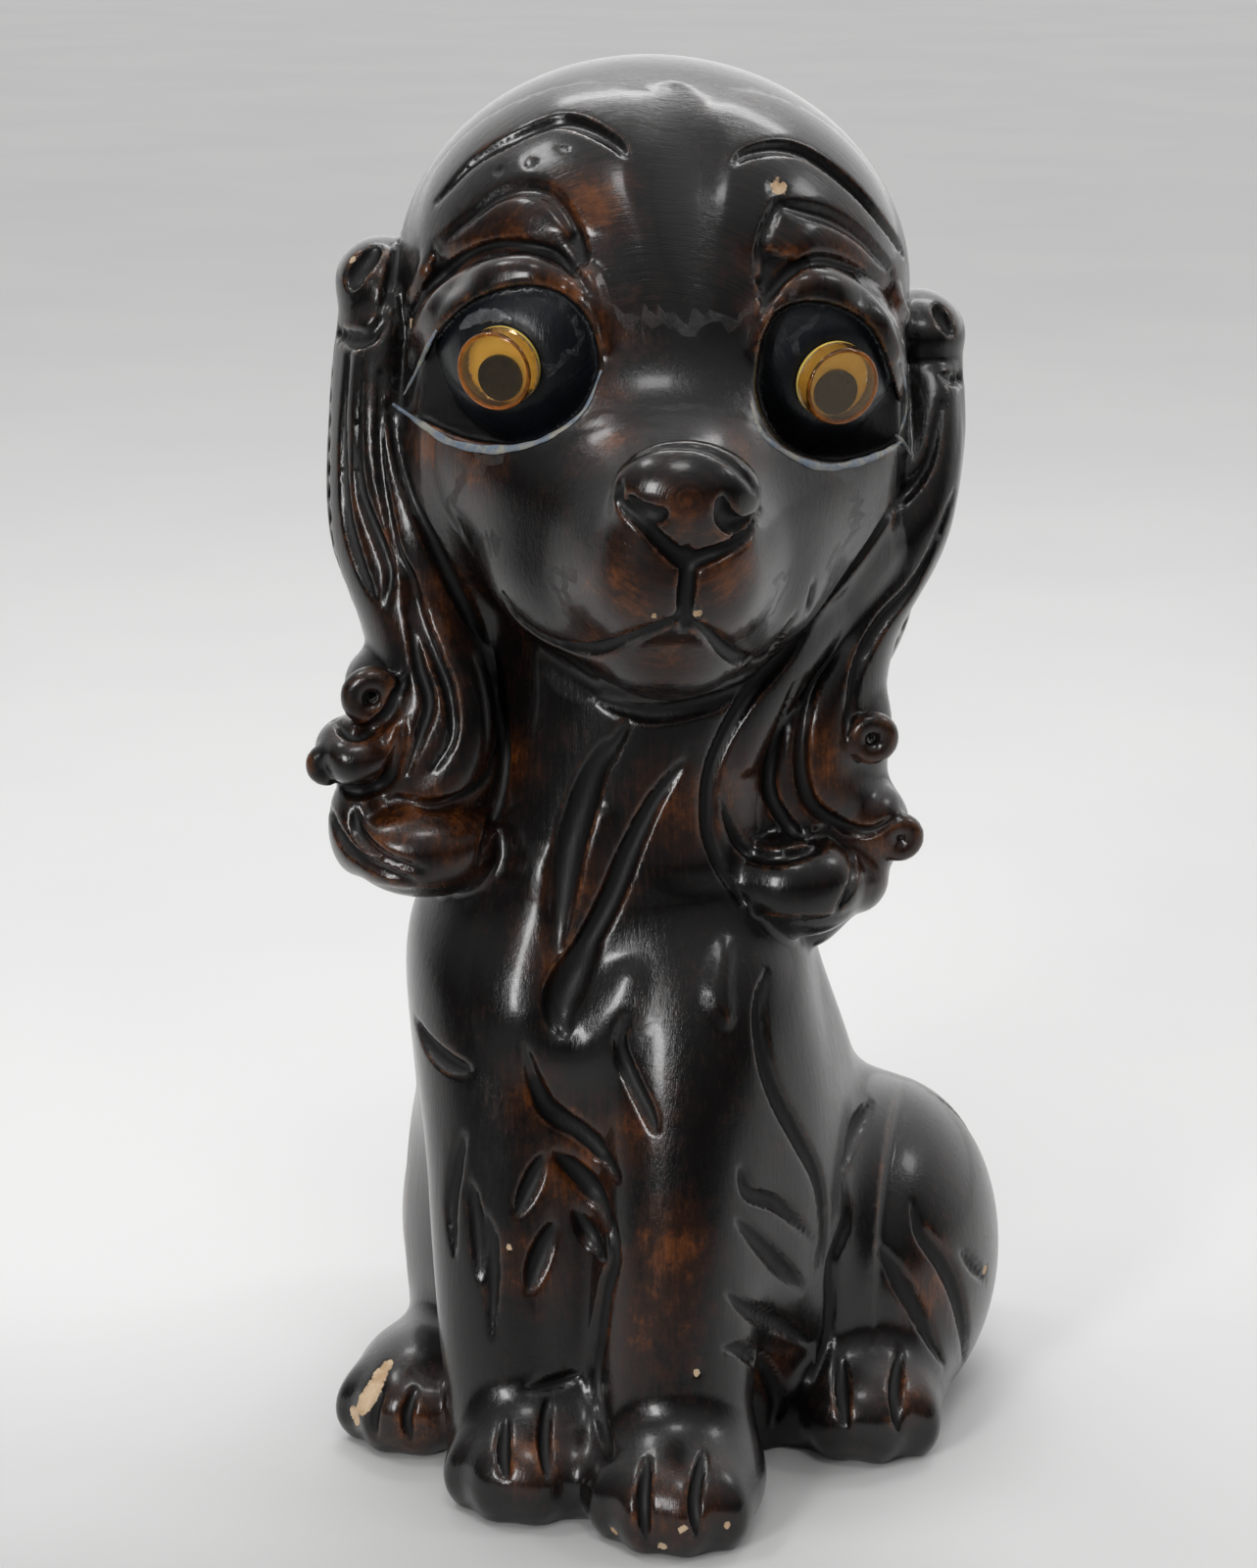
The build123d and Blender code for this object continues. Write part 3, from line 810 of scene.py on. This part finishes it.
def eye_forms(side):
    """The lid, the opening between the lids and the eyeball of one eye, as forms."""
    place = eyes[side]
    middle = place.point((0, 0, SEAT_DEPTH - EYEBALL_RADIUS))
    reach = EYEBALL_RADIUS + LID_THICKNESS + LID_REACH
    span = camera.pixel_size(place.origin)

    def opening(x, y, z):
        return outline_distance(EYE_OUTLINES[side], *camera.pixels(x, y, z)) * span

    def lid(x, y, z):
        shell = ball(middle, EYEBALL_RADIUS + LID_THICKNESS)[2](x, y, z)
        return smooth_max(shell, opening(x, y, z) - LID_WIDTH, LID_EDGE)

    def gap(x, y, z):
        return smooth_max(opening(x, y, z), -(place.local(x, y, z)[2] + EYEBALL_RADIUS / 2), GAP_EDGE)

    def eyeball(x, y, z):
        return smooth_max(ball(middle, EYEBALL_RADIUS)[2](x, y, z), place.local(x, y, z)[2], SEAT_EDGE)

    box = (middle - reach, middle + reach)
    return (*box, lid), (*box, gap), (*box, eyeball)


def base_forms():
    """The figure's main forms, each with how far it blends into the ones before it."""
    yield column(body, TRUNK), BLENDS["trunk"]
    for leg in (RIGHT_FORELEG, LEFT_FORELEG):
        yield column(body, leg), BLENDS["leg"]
    yield ellipsoid(body, *LEFT_ELBOW), BLENDS["elbow"]
    for haunch in HAUNCHES:
        yield ellipsoid(body, *haunch), BLENDS["haunch"]
    yield ellipsoid(body, *TAIL), BLENDS["tail"]
    for centre, radii in PAWS:
        yield ellipsoid(body, centre, radii), BLENDS["paw"]
        reach = TOE_REACH * (radii[0] + radii[1]) / 2
        for number in range(TOE_COUNT):
            fan = turn(Z, (2 * number / (TOE_COUNT - 1) - 1) * TOE_SPREAD)
            foot = Place(body.point((centre[0], centre[1], TOE_HEIGHT)), fan)
            yield ellipsoid(foot, (0, -reach, 0), TOE_RADII), BLENDS["toe"]
    for bed in EAR_BEDS:
        yield ellipsoid(head, *bed), BLENDS["ear bed"]
    for centre, radii, blend in HEAD_FORMS:
        yield ellipsoid(head, centre, radii), blend
    yield column(snout, MUZZLE), BLENDS["muzzle"]
    for centre, radii, blend in FACE_FORMS:
        yield ellipsoid(head, centre, radii), blend
    for ear in (RIGHT_EAR, LEFT_EAR):
        yield column(head, ear), BLENDS["ear"]
    for root in EAR_ROOTS:
        yield ellipsoid(head, *root), BLENDS["ear root"]
    for lock in EAR_LOCKS:
        yield ellipsoid(head, *lock), BLENDS["lock"]
    for centre, radius, thickness in RINGLETS:
        yield ring(head.point(centre), -head.axes[:, 1], radius, thickness), BLENDS["ringlet"]


def hollow_forms():
    """The hollow that the poured-out slip leaves, in the trunk and in the head."""
    inner = [radius - HEAD_WALL for radius in CRANIUM[1]]
    return column(body, TRUNK, WALL), ellipsoid(head, CRANIUM[0], inner)


def on_column(place, sections, angle, height):
    """A point on the side of a column, by its angle and height."""
    rows = np.array(sorted(sections))
    x, y, wide, front, back = (np.interp(height, rows[:, 0], rows[:, n]) for n in range(1, 6))
    across, along = math.cos(math.radians(angle)), math.sin(math.radians(angle))
    return place.point((x + wide * across, y + (back if along > 0 else front) * along, height))


def hidden_strokes():
    """Points near the surface for each stroke on the sides that the photograph doesn't show."""
    share = np.linspace(0, 1, LEAF_POINTS)
    for top, angles in BACK_LEAVES:
        for angle in angles:
            sway = (LEAF_SWAY if angle < 90 else -LEAF_SWAY) * share ** 2
            heights = top - LEAF_LENGTH * share
            yield [on_column(body, TRUNK, angle + way, height) for way, height in zip(sway, heights)]
    for side, sections in (("right", RIGHT_EAR), ("left", LEFT_EAR)):
        top, bottom, angles = EAR_FOLDS[side]
        for angle in angles:
            sway = LEAF_SWAY * np.sin(np.pi * share)
            heights = top + (bottom - top) * share
            yield [on_column(head, sections, angle + way, height) for way, height in zip(sway, heights)]
    for (centre, radii), angles in zip(HAUNCHES, HAUNCH_FOLDS):
        for angle in angles:
            around = np.radians(angle + LEAF_SWAY * share ** 2)
            rise = np.radians(FOLD_TOP + (FOLD_BOTTOM - FOLD_TOP) * share)
            out = np.stack((np.cos(rise) * np.cos(around), np.cos(rise) * np.sin(around), np.sin(rise)), 1)
            yield body.point(centre) + out * radii


def carve():
    """The whole figure as a field, and the field before the strokes."""
    field = Field(PITCH)
    for form, blend in base_forms():
        field.join(form, blend)
    parts = [eye_forms(side) for side in eyes]
    for lid, gap, eyeball in parts:
        field.join(lid, BLENDS["lid"])
    base = field.copy()
    for side in eyes:
        sink_brow(field, side)
    lowered = field.copy()
    for half_width, height, pixels in RIDGES.values():
        points, out = lowered.land(flowing(pixels, STROKE_STEP))
        sweep(field, points, out, half_width, height, RIDGE_SOFTEN, True)
    raised = field.copy()
    for half_width, depth, pixels in GROOVES.values():
        points, out = raised.land(flowing(pixels, STROKE_STEP))
        sweep(field, points, out, half_width, depth, GROOVE_SOFTEN, False)
    for near in hidden_strokes():
        points, out = raised.settle(np.array(near))
        sweep(field, points, out, LEAF_WIDTH, LEAF_DEPTH, GROOVE_SOFTEN, False)
    for point, out, (across, down, radius) in zip(*raised.land([chip[:2] for chip in CHIPS]), CHIPS):
        bowl = (radius ** 2 + CHIP_DEPTH ** 2) / (2 * CHIP_DEPTH)
        field.cut(ball(point + out * (bowl - CHIP_DEPTH), bowl), BLENDS["chip"])
    for lid, gap, eyeball in parts:
        field.cut(gap, BLENDS["eye gap"])
        field.join(eyeball, BLENDS["eyeball"])
    for hollow in hollow_forms():
        field.cut(hollow, BLENDS["hollow"])
    whole, grid = field.window(GRID_LOW, GRID_HIGH)
    field.value[whole] = np.maximum(field.value[whole], -grid[2])
    return field, base


def new_piece(name, points, faces, material):
    """A smooth mesh object from points in millimetres."""
    mesh = bpy.data.meshes.new(name)
    mesh.from_pydata(np.asarray(points) * MM, [], faces)
    mesh.polygons.foreach_set("use_smooth", np.ones(len(mesh.polygons), bool))
    mesh.materials.append(material)
    piece = bpy.data.objects.new(name, mesh)
    bpy.context.scene.collection.objects.link(piece)
    return piece


def sculpt(field, material):
    """The dog's mesh on the surface of a field."""
    grid = openvdb.FloatGrid(background=BAND)
    grid.copyFromArray(np.clip(field.value, -BAND, BAND))
    grid.transform = openvdb.createLinearTransform(voxelSize=field.pitch)
    points, quads = grid.convertToQuads(isovalue=0.0)
    piece = new_piece("dog", points + field.low, quads.astype(int).tolist(), material)
    if len(quads) * 2 > TRIANGLES:
        modifier = piece.modifiers.new("fewer", "DECIMATE")
        modifier.ratio = TRIANGLES / (2 * len(quads))
        shaped = piece.evaluated_get(bpy.context.evaluated_depsgraph_get())
        piece.data = bpy.data.meshes.new_from_object(shaped)
        piece.modifiers.clear()
    return piece


def spotted(points, base, spots, spread):
    """How far inside the nearest spot each point is: 1 at its middle, 0 at its edge and beyond."""
    best = np.zeros(len(points))
    for place, (across, down, radius) in zip(base.land([spot[:2] for spot in spots])[0], spots):
        best = np.maximum(best, 1 - np.linalg.norm(points - place, axis=1) / (spread * radius))
    return best


def brushed(points):
    """Coordinates that change slowly along the brush: round the face on the head, downwards elsewhere."""
    x, y, z = points.T
    brush = np.stack((x, y, BRUSH_RUN * z), 1)
    forms = [ellipsoid(head, *form[:2]) for form in HEAD_FORMS + FACE_FORMS] + [column(snout, MUZZLE)]
    on_head = np.min([form[2](x, y, z) for form in forms], axis=0) < BRUSH_EDGE
    u, v, w = head.local(x, y, z)
    reach = np.hypot(u, w + BRUSH_MIDDLE)
    brush[on_head] = np.stack((reach + BRUSH_RUN * u, v, BRUSH_RUN * w), 1)[on_head]
    return brush


def on_eyes(points):
    """Which points lie on the eyeballs between the lids."""
    found = np.zeros(len(points), bool)
    pixels = camera.pixels(*points.T)
    for side, place in eyes.items():
        u, v, depth = place.local(*points.T)
        near = np.linalg.norm(points - place.origin, axis=1) < EYEBALL_RADIUS
        middle = place.point((0, 0, SEAT_DEPTH - EYEBALL_RADIUS))
        on_ball = np.abs(ball(middle, EYEBALL_RADIUS)[2](*points.T)) < EYE_EDGE
        on_seat = (np.abs(depth) < EYE_EDGE) & (np.hypot(u, v) < SEAT_RADIUS)
        open_lids = within(EYE_OUTLINES[side], *pixels) & (depth > -EYEBALL_RADIUS / 2)
        found |= near & (on_ball | on_seat | open_lids)
    return found


def unstained(points):
    """Which points lie in the hollow or on the foot, where the plaster is bare."""
    gaps = np.array([hollow[2](*points.T) for hollow in hollow_forms()])
    inside = np.abs(gaps).min(0) < RAW_EDGE
    return (inside | (points[:, 2] < RAW_EDGE)) & (gaps.max(0) < FAR)


def paint(piece, field, base):
    """Gives the dog its normals, and the values that its stain reads at each point."""
    mesh = piece.data
    points = np.empty(len(mesh.vertices) * 3, np.float32)
    mesh.vertices.foreach_get("co", points)
    points = points.reshape(-1, 3) / MM
    mesh.normals_split_custom_set_from_vertices(field.slope(points, NORMAL_STEP * field.pitch))

    sides = [way * EDGE_STEP * side for side in np.eye(3) for way in (-1, 1)]
    around = sum(field.sample(points + side) for side in sides)
    values = {
        "relief": base.sample(points),
        "edge": (around - 6 * field.sample(points)) / (2 * EDGE_STEP ** 2),
        "warm": spotted(points, base, WARM_SPOTS, WARM_SPREAD),
        "chip": spotted(points, base, CHIPS, CHIP_SPREAD),
        "eye": on_eyes(points),
        "raw": unstained(points),
    }
    for name, value in values.items():
        mesh.attributes.new(name, "FLOAT", "POINT").data.foreach_set("value", np.asarray(value, np.float32))
    brush = mesh.attributes.new("brush", "FLOAT_VECTOR", "POINT")
    brush.data.foreach_set("vector", brushed(points).astype(np.float32).ravel())


def bead(name, field, pixels, half_width, height, material):
    """A low bead of paint or glue on the surface, along a line on the photograph."""
    points, out = field.land(flowing(pixels, LINE_STEP))
    side = np.cross(out, np.gradient(points, axis=0))
    side /= np.linalg.norm(side, axis=1)[:, None]
    share = np.linspace(0, 1, len(points))
    depth, slow, fast = BEAD_WAVE
    swell = np.sin(np.pi * np.clip(share, *BEAD_ENDS)) ** BEAD_SWELL
    swell = swell * (1 + depth * np.sin(slow * share) * np.cos(fast * share))
    rings = []
    for angle in np.linspace(0, 2 * np.pi, BEAD_SIDES, endpoint=False):
        wide = half_width * math.cos(angle) * swell
        tall = height * math.sin(angle) * swell
        rings.append(points + side * wide[:, None] + out * tall[:, None])
    corners = np.stack(rings, 1).reshape(-1, 3)
    faces = []
    for n in range(len(points) - 1):
        for m in range(BEAD_SIDES):
            a, b = n * BEAD_SIDES + m, n * BEAD_SIDES + (m + 1) % BEAD_SIDES
            faces.append((a, b, b + BEAD_SIDES, a + BEAD_SIDES))
    faces.append(tuple(range(BEAD_SIDES))[::-1])
    faces.append(tuple(range(len(corners) - BEAD_SIDES, len(corners))))
    return new_piece(name, corners, faces, material)


class Finish:
    """The nodes of one procedural material."""

    def __init__(self, name):
        self.material = bpy.data.materials.new(name)
        self.material.use_nodes = True
        self.tree = self.material.node_tree
        self.shader = self.tree.nodes["Principled BSDF"]
        self.place = self.node("TexCoord").outputs["Object"]

    def put(self, node, inputs):
        for name, value in inputs.items():
            if isinstance(value, bpy.types.NodeSocket):
                self.tree.links.new(value, node.inputs[name])
            elif isinstance(value, tuple) and len(value) == 3 and node.inputs[name].type == "RGBA":
                node.inputs[name].default_value = (*value, 1)
            else:
                node.inputs[name].default_value = value

    def node(self, kind, inputs=None, **settings):
        node = self.tree.nodes.new("ShaderNode" + kind)
        for name, value in settings.items():
            setattr(node, name, value)
        self.put(node, inputs or {})
        return node

    def value(self, name):
        return self.node("Attribute", attribute_name=name).outputs["Fac"]

    def noise(self, where, scale, detail=3.0, roughness=0.55):
        inputs = {"Vector": where, "Scale": scale, "Detail": detail, "Roughness": roughness}
        return self.node("TexNoise", inputs).outputs["Fac"]

    def sum(self, *terms):
        """A weighted sum of values: a number is added, a pair is a value and its weight."""
        total = 0.0
        for term in terms:
            value, weight = term if isinstance(term, tuple) else (term, 1.0)
            total = self.node("Math", {0: value, 1: weight, 2: total}, operation="MULTIPLY_ADD").outputs[0]
        return total

    def times(self, first, second):
        return self.node("Math", {0: first, 1: second}, operation="MULTIPLY").outputs[0]

    def rise(self, value, low, high, first=0.0, last=1.0):
        inputs = {"Value": value, "From Min": low, "From Max": high, "To Min": first, "To Max": last}
        return self.node("MapRange", inputs, interpolation_type="SMOOTHSTEP").outputs[0]

    def mix(self, share, first, second):
        inputs = {0: share, 6: first, 7: second}
        return self.node("Mix", inputs, data_type="RGBA").outputs[2]

    def bump(self, height, strength, distance):
        inputs = {"Height": height, "Strength": strength, "Distance": distance * MM}
        return self.node("Bump", inputs).outputs["Normal"]


def stained_plaster():
    """Dark stain brushed over plaster: thin and rusty in places, worn on edges, chipped, and bare inside."""
    finish = Finish("stained_plaster")
    names = ("relief", "edge", "warm", "chip", "eye", "raw")
    relief, edge, warm, chip, eye, raw = (finish.value(name) for name in names)
    brush = finish.node("Attribute", attribute_name="brush").outputs["Vector"]
    streak = finish.noise(brush, scale=1.3, detail=4.0, roughness=0.65)
    hair = finish.noise(brush, scale=4.5, detail=2.0)
    cloud = finish.noise(finish.place, scale=75.0, detail=5.0, roughness=0.62)
    mottle = finish.noise(finish.place, scale=340.0, detail=4.0, roughness=0.7)
    grain = finish.noise(finish.place, scale=1500.0, detail=2.0)

    thin = finish.sum(-1.16, (warm, 0.50), (cloud, 0.95), (streak, 0.50), (mottle, 0.80), (edge, 0.22))
    stain = finish.mix(finish.rise(thin, 0.0, 0.50), STAIN["dark"], STAIN["brown"])
    stain = finish.mix(finish.rise(thin, 0.32, 0.75), stain, STAIN["rust"])
    worn = finish.times(finish.rise(edge, 0.20, 0.55), finish.rise(mottle, 0.40, 0.66))
    stain = finish.mix(finish.times(worn, 0.5), stain, STAIN["worn"])
    pooled = finish.rise(finish.sum((relief, -1.0), (edge, -0.6)), 0.35, 1.25)
    stain = finish.mix(pooled, stain, STAIN["pooled"])
    chipped = finish.rise(finish.sum(chip, (mottle, 0.9), -0.45), 0.34, 0.42)
    stain = finish.mix(chipped, stain, finish.mix(finish.rise(mottle, 0.35, 0.65), *CHIP_TONES))
    stain = finish.mix(eye, stain, finish.mix(finish.rise(cloud, 0.4, 0.65), *GLAZE_TONES))
    stain = finish.mix(raw, stain, finish.mix(finish.rise(cloud, 0.3, 0.7), *BARE_TONES))

    satin = finish.sum(0.05, (streak, 0.24), (cloud, 0.08), (mottle, 0.06))
    satin = finish.sum(satin, (chipped, 0.45), (raw, 0.5), (eye, -0.22), (pooled, 0.28))
    height = finish.sum((streak, 1.0), (hair, 0.5), (mottle, 0.5), (grain, 0.2), (chipped, -0.6))
    finish.put(finish.shader, {
        "Base Color": stain,
        "Roughness": satin,
        "IOR": 1.42,
        "Coat Weight": finish.rise(finish.sum(chipped, raw, pooled), 0.0, 0.6, 0.4, 0.0),
        "Coat Roughness": 0.14,
        "Normal": finish.bump(height, strength=0.42, distance=0.16),
    })
    return finish.material


def clouded(name, noise, tones, shares, gloss, relief, more=None):
    """A finish in two tones that drift into each other, with gloss and relief from the same noise."""
    finish = Finish(name)
    cloud = finish.noise(finish.place, *noise)
    finish.put(finish.shader, {
        "Base Color": finish.mix(finish.rise(cloud, *shares), *tones),
        "Roughness": finish.rise(cloud, *gloss),
        "Normal": finish.bump(cloud, *relief),
        **(more or {}),
    })
    return finish


def amber():
    """Clear amber plastic, with faint scuffs."""
    tones = ((1.0, 0.95, 0.80), (1.0, 0.91, 0.70))
    clear = {"IOR": 1.49, "Transmission Weight": 1.0}
    gloss = (0.3, 0.75, 0.02, 0.09)
    finish = clouded("amber_drum", (900.0, 5.0, 0.7), tones, (0.35, 0.7), gloss, (0.08, 0.05), clear)
    depth = finish.node("VolumeAbsorption", {"Color": (1.0, 0.52, 0.05), "Density": 270.0})
    finish.tree.links.new(depth.outputs[0], finish.tree.nodes["Material Output"].inputs["Volume"])
    return finish.material


def eye_back():
    """The drum's back disc: cream card gone golden."""
    tones = ((0.95, 0.66, 0.12), (0.98, 0.74, 0.18))
    gloss = (0.3, 0.7, 0.38, 0.55)
    return clouded("eye_back", (420.0, 4.0, 0.6), tones, (0.3, 0.7), gloss, (0.15, 0.05)).material


def pupil_black():
    """Glossy olive-black plastic."""
    tones = ((0.008, 0.0075, 0.004), (0.022, 0.020, 0.011))
    gloss = (0.3, 0.75, 0.10, 0.28)
    return clouded("black_pupil", (500.0, 4.0, 0.6), tones, (0.3, 0.7), gloss, (0.10, 0.05)).material


def glue():
    """A thin greyish film of dried adhesive."""
    tones = ((0.42, 0.44, 0.47), (0.70, 0.72, 0.75))
    clear = {"IOR": 1.45, "Transmission Weight": 0.85}
    gloss = (0.3, 0.75, 0.16, 0.40)
    return clouded("clear_glue", (600.0, 4.0, 0.65), tones, (0.3, 0.7), gloss, (0.35, 0.10), clear).material


def lid_paint():
    """Pale blue-grey paint, rubbed thin in places."""
    finish = Finish("lid_paint")
    cloud = finish.noise(finish.place, scale=260.0, detail=4.0, roughness=0.7)
    rub = finish.noise(finish.place, scale=900.0, detail=3.0, roughness=0.7)
    tone = finish.mix(finish.rise(cloud, 0.40, 0.62), (0.15, 0.19, 0.25), (0.30, 0.29, 0.24))
    finish.put(finish.shader, {
        "Base Color": finish.mix(finish.rise(rub, 0.54, 0.76), tone, (0.03, 0.034, 0.040)),
        "Roughness": finish.rise(rub, 0.3, 0.7, 0.30, 0.50),
        "Normal": finish.bump(rub, strength=0.3, distance=0.10),
    })
    return finish.material


def floor_paper_painted_shade():
    """Plain pale paper, with painted shade: grey in front of the picture."""
    finish = Finish("floor_paper_painted_shade")
    cloud = finish.noise(finish.place, scale=6.0)
    paper = finish.mix(finish.rise(cloud, 0.3, 0.7), *FLOOR_TONES)
    depth = finish.node("SeparateXYZ", {0: finish.place}).outputs["Y"]
    # back is the share of pale paper; towards the front the paper takes painted shade, a grey for the unlit
    # floor there
    back = finish.rise(depth, FLOOR_SHADE_DEPTHS[1] * MM, FLOOR_SHADE_DEPTHS[0] * MM)
    finish.put(finish.shader, {
        "Base Color": finish.mix(back, FLOOR_PAINTED_SHADE, paper),
        "Roughness": 0.85,
    })
    return finish.material


def studio():
    """Soft surrounding light: bright above and behind, dim in front."""
    world = bpy.data.worlds.new("studio")
    world.use_nodes = True
    tree = world.node_tree
    ways = tree.nodes.new("ShaderNodeSeparateXYZ")
    tree.links.new(tree.nodes.new("ShaderNodeTexCoord").outputs["Generated"], ways.inputs[0])
    total = tree.nodes.new("ShaderNodeMath")
    for number, (axis, spans) in enumerate(SKY.items()):
        share = tree.nodes.new("ShaderNodeMapRange")
        for name, value in zip(("From Min", "From Max", "To Min", "To Max"), spans):
            share.inputs[name].default_value = value
        tree.links.new(ways.outputs[axis], share.inputs["Value"])
        tree.links.new(share.outputs[0], total.inputs[number])
    tree.links.new(total.outputs[0], tree.nodes["Background"].inputs["Strength"])
    tree.nodes["Background"].inputs["Color"].default_value = (*SKY_COLOUR, 1)
    bpy.context.scene.world = world


def softbox(name, place, aim, width, height, radiance):
    """A rectangular light of a given brightness, aimed at a point."""
    light = bpy.data.lights.new(name, "AREA")
    light.shape = "RECTANGLE"
    light.size = width * MM
    light.size_y = height * MM
    light.energy = radiance * math.pi * light.size * light.size_y
    lamp = bpy.data.objects.new(name, light)
    look = (Vector(aim) - Vector(place)).to_track_quat("-Z", "Y")
    lamp.matrix_world = Matrix.Translation(Vector(place) * MM) @ look.to_matrix().to_4x4()
    bpy.context.scene.collection.objects.link(lamp)


def stand_viewer():
    """The scene's camera, at the photograph's angle and a step away from its place."""
    lens = bpy.data.cameras.new("camera")
    lens.sensor_fit = "VERTICAL"
    lens.sensor_height = SENSOR
    lens.lens = FOCAL / PHOTO_HEIGHT * SENSOR
    lens.clip_start = CLIP_START * MM
    viewer = bpy.data.objects.new("camera", lens)
    axes = np.stack((camera.right, camera.up, camera.back), 1)
    stand = camera.place + axes @ np.array(VIEW_STEP)
    viewer.matrix_world = Matrix.Translation(Vector(stand) * MM) @ Matrix(axes.tolist()).to_4x4()
    bpy.context.scene.collection.objects.link(viewer)
    bpy.context.scene.camera = viewer


camera = PhotoCamera()
body = Place(AXIS, np.eye(3))
head = Place(body.point(HEAD_PLACE), turn(Z, HEAD_TURN) @ turn(X, HEAD_DROP) @ turn(Y, HEAD_TILT))
snout = Place(head.origin, head.axes @ turn(X, 90))
eyes = {side: eye_place(side) for side in EYE_OUTLINES}

field, base = carve()
dog = sculpt(field, stained_plaster())
paint(dog, field, base)
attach(dog, "figure")
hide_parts("plaster_casting")

line_paint = lid_paint()
for name, (half_width, pixels) in LID_LINES.items():
    line = bead(name, field, pixels, half_width, LINE_HEIGHT, line_paint)
    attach(line, "figure")

film = glue()
smear = bead("glue_smear", field, SMEAR, SMEAR_WIDTH, SMEAR_HEIGHT, film)
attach(smear, "figure")

finishes = {"eye_glue": film, "eye_back": eye_back(), "eye_dome": amber(), "pupil": pupil_black()}
for side in eyes:
    for kind, material in finishes.items():
        for slot in frame["nodes"][f"{side}_{kind}"].material_slots:
            slot.material = material

corners = [(x * FLOOR_REACH, y * FLOOR_REACH, 0) for x, y in ((-1, -1), (1, -1), (1, 1), (-1, 1))]
floor = new_piece("floor", corners, [(0, 1, 2, 3)], floor_paper_painted_shade())

studio()
for name, settings in SOFTBOXES.items():
    softbox(name, *settings)
bpy.context.scene.view_settings.view_transform = "Standard"
stand_viewer()
